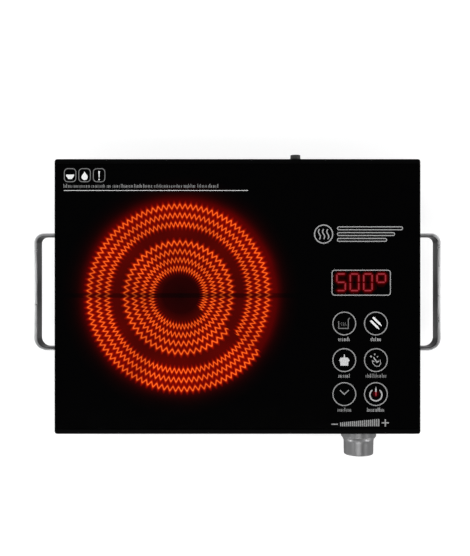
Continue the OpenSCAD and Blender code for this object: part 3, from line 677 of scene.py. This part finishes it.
sign_frames = Print("sign_frames")
signs = Print("plain_signs")
for i, draw in enumerate((bowl, drop, taper)):
    sign_x = SIGN_X + i * (SIGN_W + SIGN_GAP)
    edge = rounded_box(sign_x, SIGN_Y, SIGN_W - THIN, SIGN_H - THIN, 3.4)
    sign_frames.line(edge, THIN, closed=True)
    draw(signs, sign_x, SIGN_Y - DRAWING_DROP, DRAWING_SIZE)
sign_frames.made(DIM_INK)
signs.made(BRIGHT_INK)

note = Print("mock_note")
word_x = NOTE_X
for i, word in enumerate(NOTE_WORDS):
    mock_text(note, word_x, NOTE_Y, word, NOTE_H, NOTE_SEED + i)
    word_x += word + NOTE_SPACE
note.made(SOFT_INK)

rule = Print("rule_line")
rule.box(RULE_X0, RULE_Y0, RULE_X1, RULE_Y1)
rule.made(BRIGHT_INK)


EMBLEM_X, EMBLEM_Y = 76.5, 62.4
DISC_R, DISC_LINE = 9.6, 1.1
STRIPE_X, STRIPE_STEP, STRIPE_LINE = 23, 5.8, 0.9


def emblem():
    """Plain stand-in for a name: a heat-wave disc beside three double stripes."""
    sheet = Print("plain_emblem")
    sheet.ring(EMBLEM_X + DISC_R, EMBLEM_Y, DISC_R, DISC_LINE)
    for dx in (-4.2, 0, 4.2):
        wave_x = EMBLEM_X + DISC_R + dx
        wave = [(wave_x + math.sin(TURN * t / 12), EMBLEM_Y - 5 + 10 * t / 12) for t in range(13)]
        sheet.line(wave, DISC_LINE)
    for i, reach in enumerate((66.0, 58.0, 50.0)):
        stripe_x = EMBLEM_X + STRIPE_X + reach / 2
        stripe_y = EMBLEM_Y + STRIPE_STEP - STRIPE_STEP * i
        stripe = rounded_box(stripe_x, stripe_y, reach - STRIPE_LINE, 2.9, 1.4)
        sheet.line(stripe, STRIPE_LINE, closed=True)
    sheet.made(GREY_INK)


emblem()

# ---- display -----------------------------------------------------------------

SEGMENTS = {"5": "afgcd", "0": "abcdef", "degree": "abfg"}
DIGIT_W, DIGIT_H, DIGIT_PITCH = 10.4, 18.6, 13.4
BAR, CORE = 2.0, 1.35
BORDER_W, BORDER_H, BORDER_DROP, BORDER_R = 59.2, 25.8, 0.4, 2.6


def segment_ends(name, cx, cy):
    """The two ends of one segment of the digit round a centre."""
    w, h = (DIGIT_W - BAR) / 2, (DIGIT_H - BAR) / 2
    left, right, top, mid, low = cx - w, cx + w, cy + h, cy, cy - h
    return {"a": ((left, top), (right, top)), "b": ((right, top), (right, mid)),
            "c": ((right, mid), (right, low)), "d": ((left, low), (right, low)),
            "e": ((left, mid), (left, low)), "f": ((left, top), (left, mid)),
            "g": ((left, mid), (right, mid))}[name]


def bar(sheet, ends, width, gap=0.45):
    """Six-sided light bar between two corners of a digit."""
    a, b = Vector(ends[0]), Vector(ends[1])
    along = (b - a).normalized()
    side = Vector((-along.y, along.x)) * width / 2
    a, b = a + along * gap, b - along * gap
    inset = along * width / 2
    right = (a, a + inset - side, b - inset - side)
    left = (b, b - inset + side, a + inset + side)
    sheet.fill([tuple(p) for p in right + left])


def lit_red():
    """Light bars seen through dark glass: bright core colour, slightly uneven."""
    s = Surface("lit_red", (0.03, 0.001, 0.002), 0.4, Specular_IOR_Level=0.2)
    reds = [(0.3, (0.85, 0.050, 0.075)), (0.7, (1.0, 0.065, 0.115))]
    s.drive("Emission Color", s.ramp(s.noise(500, detail=1), reds))
    s.bsdf.inputs["Emission Strength"].default_value = 0.29
    s.rough(s.noise(500), 0.3, 0.5)
    return s.mat


def lit_haze(name, level):
    """Faint red light that spreads round lit bars behind the glass."""
    s = Surface(name, (0.0005, 0.0004, 0.0004), 0.3, Specular_IOR_Level=0.0)
    reds = [(0.3, (0.7, 0.001, 0)), (0.7, (1.0, 0.004, 0.002))]
    s.drive("Emission Color", s.ramp(s.noise(180, detail=1), reds))
    s.bsdf.inputs["Emission Strength"].default_value = level
    s.rough(s.noise(500), 0.2, 0.4)
    return s.mat


LIT_RED = lit_red()
border = Print("display_border")
outline = rounded_box(DISPLAY[0], DISPLAY[1] - BORDER_DROP, BORDER_W - THIN, BORDER_H - THIN, BORDER_R)
border.line(outline, THIN, closed=True)
border.made(GREY_INK)

# Three sheets of haze, the narrowest and brightest on top: name, width of a bar, lift, material.
# Bars that meet have their own small lifts, so that no two faces coincide.
NEAR_HAZE = lit_haze("near_haze", 0.098)
SOFT_HAZE = lit_haze("soft_haze", 0.028)
FAR_HAZE = lit_haze("far_haze", 0.012)
HAZES = [
    ("near", 3.3, 0.040, NEAR_HAZE),
    ("soft", 5.6, 0.022, SOFT_HAZE),
    ("far", 9.6, 0.004, FAR_HAZE),
]
digits = Print("display_digits")
haze_sheets = [Print(f"display_haze_{name}") for name, *_ in HAZES]
for place, sign in enumerate(("5", "0", "0", "degree")):
    digit_x = DISPLAY[0] + (place - 1.5) * DIGIT_PITCH
    for segment in SEGMENTS[sign]:
        ends = segment_ends(segment, digit_x, DISPLAY[1])
        bar(digits, ends, CORE)
        for sheet, (_, wide, lift, _) in zip(haze_sheets, HAZES):
            sheet.lift = lift + 0.002 * "abcdefg".index(segment) + 0.001 * (place % 2)
            bar(sheet, ends, wide, gap=-0.3 * wide)
digits.made(LIT_RED)
for sheet, (_, _, _, haze) in zip(haze_sheets, HAZES):
    sheet.made(haze)

# ---- touch keys ----------------------------------------------------------------

KEY_R = 11.9
LABEL_DROP, LABEL_H = 5.7, 4.0
LABEL_SEED = 40


def shifted(x, y, points):
    """Points of a drawing, moved to its key."""
    return [(x + dx, y + dy) for dx, dy in points]


def fry(sheet, x, y):
    """Deep pan with a raised grip."""
    pan = [(-5.6, 2.2), (-5.6, -4.9), (4.0, -4.9), (4.0, 4.0), (5.4, 5.6)]
    sheet.line(shifted(x, y, pan), 0.95)
    for dx in (-2.8, -0.8, 1.2):
        wave = [(x + dx + 0.5 * math.sin(TURN * t / 8), y - 2.4 + 3.6 * t / 8) for t in range(9)]
        sheet.line(wave, 0.35)


def grill(sheet, x, y):
    """Two slanted bars, thick above and pointed below."""
    profile = [(-6.2, 0.7), (-5.6, 1.05), (3.4, 1.05), (4.7, 0.45), (6.0, 0.25)]
    rim = profile + [(t, -w) for t, w in profile[::-1]]
    k = math.sqrt(0.5)
    for shift in (1, -1):
        cx, cy = x + 1.15 * shift + 0.3, y + 1.7 * shift + 0.2
        sheet.fill([(cx + (t - w) * k, cy + (-t - w) * k) for t, w in rim])


def stew(sheet, x, y):
    """Solid cooking pot with a thin lid knob, drawn 11.2 mm wide and then scaled."""
    half = [(0.5, 5.6), (0.7, 2.6), (3.9, 2.3), (5.6, -0.7), (4.4, -1.8), (4.1, -6.0)]
    k = 10.7 / 11.2
    rim = half + [(-dx, dy) for dx, dy in half[::-1]]
    sheet.fill([(x + dx * k, y + 0.2 + dy * k) for dx, dy in rim[::-1]])


def mode(sheet, x, y):
    """Fingertip over a half-open palm, with three sparks."""
    palm = [(-3.9, -0.4), (-3.0, -3.4), (-0.2, -6.0), (3.0, -6.2), (4.8, -3.6), (4.2, 0.4)]
    sheet.line(shifted(x, y, palm), 0.65)
    sheet.line(shifted(x, y, [(-2.4, 2.8), (1.0, -2.0), (3.0, -1.0)]), 1.3)
    sheet.line(shifted(x, y, [(-3.9, -0.4), (-1.6, -1.6)]), 0.9)
    for dx, dy, r in ((-4.9, 3.6, 1.0), (-1.2, 5.8, 0.75), (1.6, 3.4, 0.7)):
        sheet.disc(x + dx, y + dy, r, 12)


def clock_hands(sheet, x, y):
    """Two hands that point up and out."""
    sheet.line(shifted(x, y, [(-4.3, 3.9), (-0.1, -0.2), (4.5, 3.9)]), 1.0)


def power(sheet, x, y):
    """Open ring with a pointed bar in its gap."""
    sheet.line(arc(x, y - 0.8, 6.0, 128, 412, 48), 1.3)
    sheet.fill(shifted(x, y, [(-0.7, 2.2), (0.7, 2.2), (0.85, 4.6), (0, 7.6), (-0.85, 4.6)]))


# Name, drawing, column, height, ink of the drawing, width of the label and its ink
KEYS = [
    ("fry", fry, 0, KEY_TOP, DIM_INK, 12.0, GREY_INK),
    ("grill", grill, 1, KEY_TOP, BRIGHT_INK, 10.5, SCALE_INK),
    ("stew", stew, 0, KEY_MID, WHITE_INK, 11.6, RING_INK),
    ("mode", mode, 1, KEY_MID, GREY_INK, 20.5, SOFT_INK),
    ("timer", clock_hands, 0, KEY_BOTTOM, RING_INK, 13.3, SOFT_INK),
    ("power", power, 1, KEY_BOTTOM, SCALE_INK, 17.8, RING_INK),
]
for number, (name, draw, column, key_y, icon_ink, label_w, label_ink) in enumerate(KEYS):
    key_x = KEY_X[column]
    ring = Print(f"key_ring_{name}")
    ring.ring(key_x, key_y, KEY_R, LINE)
    ring.made(RING_INK)
    icon = Print(f"key_icon_{name}")
    draw(icon, key_x, key_y)
    icon.made(icon_ink)
    label = Print(f"key_label_{name}")
    label_x, label_y = key_x - label_w / 2, key_y - KEY_R - LABEL_DROP
    mock_text(label, label_x, label_y, label_w, LABEL_H, LABEL_SEED + number)
    label.made(label_ink)

power_light = Print("power_light")
lens = [(0, -2.4), (0.7, -1.0), (0.8, 1.0), (0.7, 2.2), (-0.7, 2.2), (-0.8, 1.0), (-0.7, -1.0)]
power_light.fill(shifted(KEY_X[1], KEY_BOTTOM, lens))
power_light.made(LIT_RED)
power_haze = Print("power_haze", lift=0.01)
power_haze.disc(KEY_X[1], KEY_BOTTOM + 0.4, 3.3)
power_haze.made(SOFT_HAZE)

# ---- level scale beside the knob --------------------------------------------------

LEVELS, LEVEL_PITCH, LEVEL_W = 20, 2.0, 1.15
LEVEL_LOW, LEVEL_RISE = 3.9, 3.4
SCALE_X, SCALE_Y = COLUMN - 0.8, -129.8
MINUS_X0, MINUS_X1, MINUS_Y = COLUMN - 29.2, COLUMN - 22.6, SCALE_Y + 2.1
PLUS_X, PLUS_Y, PLUS_R = COLUMN + 24.8, SCALE_Y + 3.5, 3.6
PLUS_ARM = 0.18  # half the width of an arm, as a share of its reach

scale = Print("level_scale")
for i in range(LEVELS):
    level_x = SCALE_X + (i - (LEVELS - 1) / 2) * LEVEL_PITCH
    level_y = SCALE_Y + LEVEL_LOW + LEVEL_RISE * i / (LEVELS - 1)
    scale.box(level_x - LEVEL_W / 2, SCALE_Y, level_x + LEVEL_W / 2, level_y)
scale.box(MINUS_X0, MINUS_Y - LINE / 2, MINUS_X1, MINUS_Y + LINE / 2)
a = PLUS_ARM
plus = [(-1, -a), (-a, -a), (-a, -1), (a, -1), (a, -a), (1, -a),
        (1, a), (a, a), (a, 1), (-a, 1), (-a, a), (-1, a)]
scale.fill([(PLUS_X + dx * PLUS_R, PLUS_Y + dy * PLUS_R) for dx, dy in plus])
scale.made(RING_INK)

# ---- floor ----------------------------------------------------------------------


def pale_floor():
    """Wide pale floor with a faint light of its own, so that it stays even."""
    bpy.ops.mesh.primitive_circle_add(vertices=96, radius=9, fill_type="NGON", location=(0, 0, 0))
    floor = bpy.context.object
    floor.name = "floor"
    s = Surface("floor_paint", (0.42, 0.42, 0.42), 0.85, Specular_IOR_Level=0.1)
    s.tint(s.noise(3), (0.41, 0.41, 0.41), (0.43, 0.43, 0.43))
    s.bsdf.inputs["Emission Color"].default_value = (1, 1, 1, 1)
    s.bsdf.inputs["Emission Strength"].default_value = 0.66
    floor.data.materials.append(s.bump(s.noise(400), 0.00002, 0.2).mat)


pale_floor()
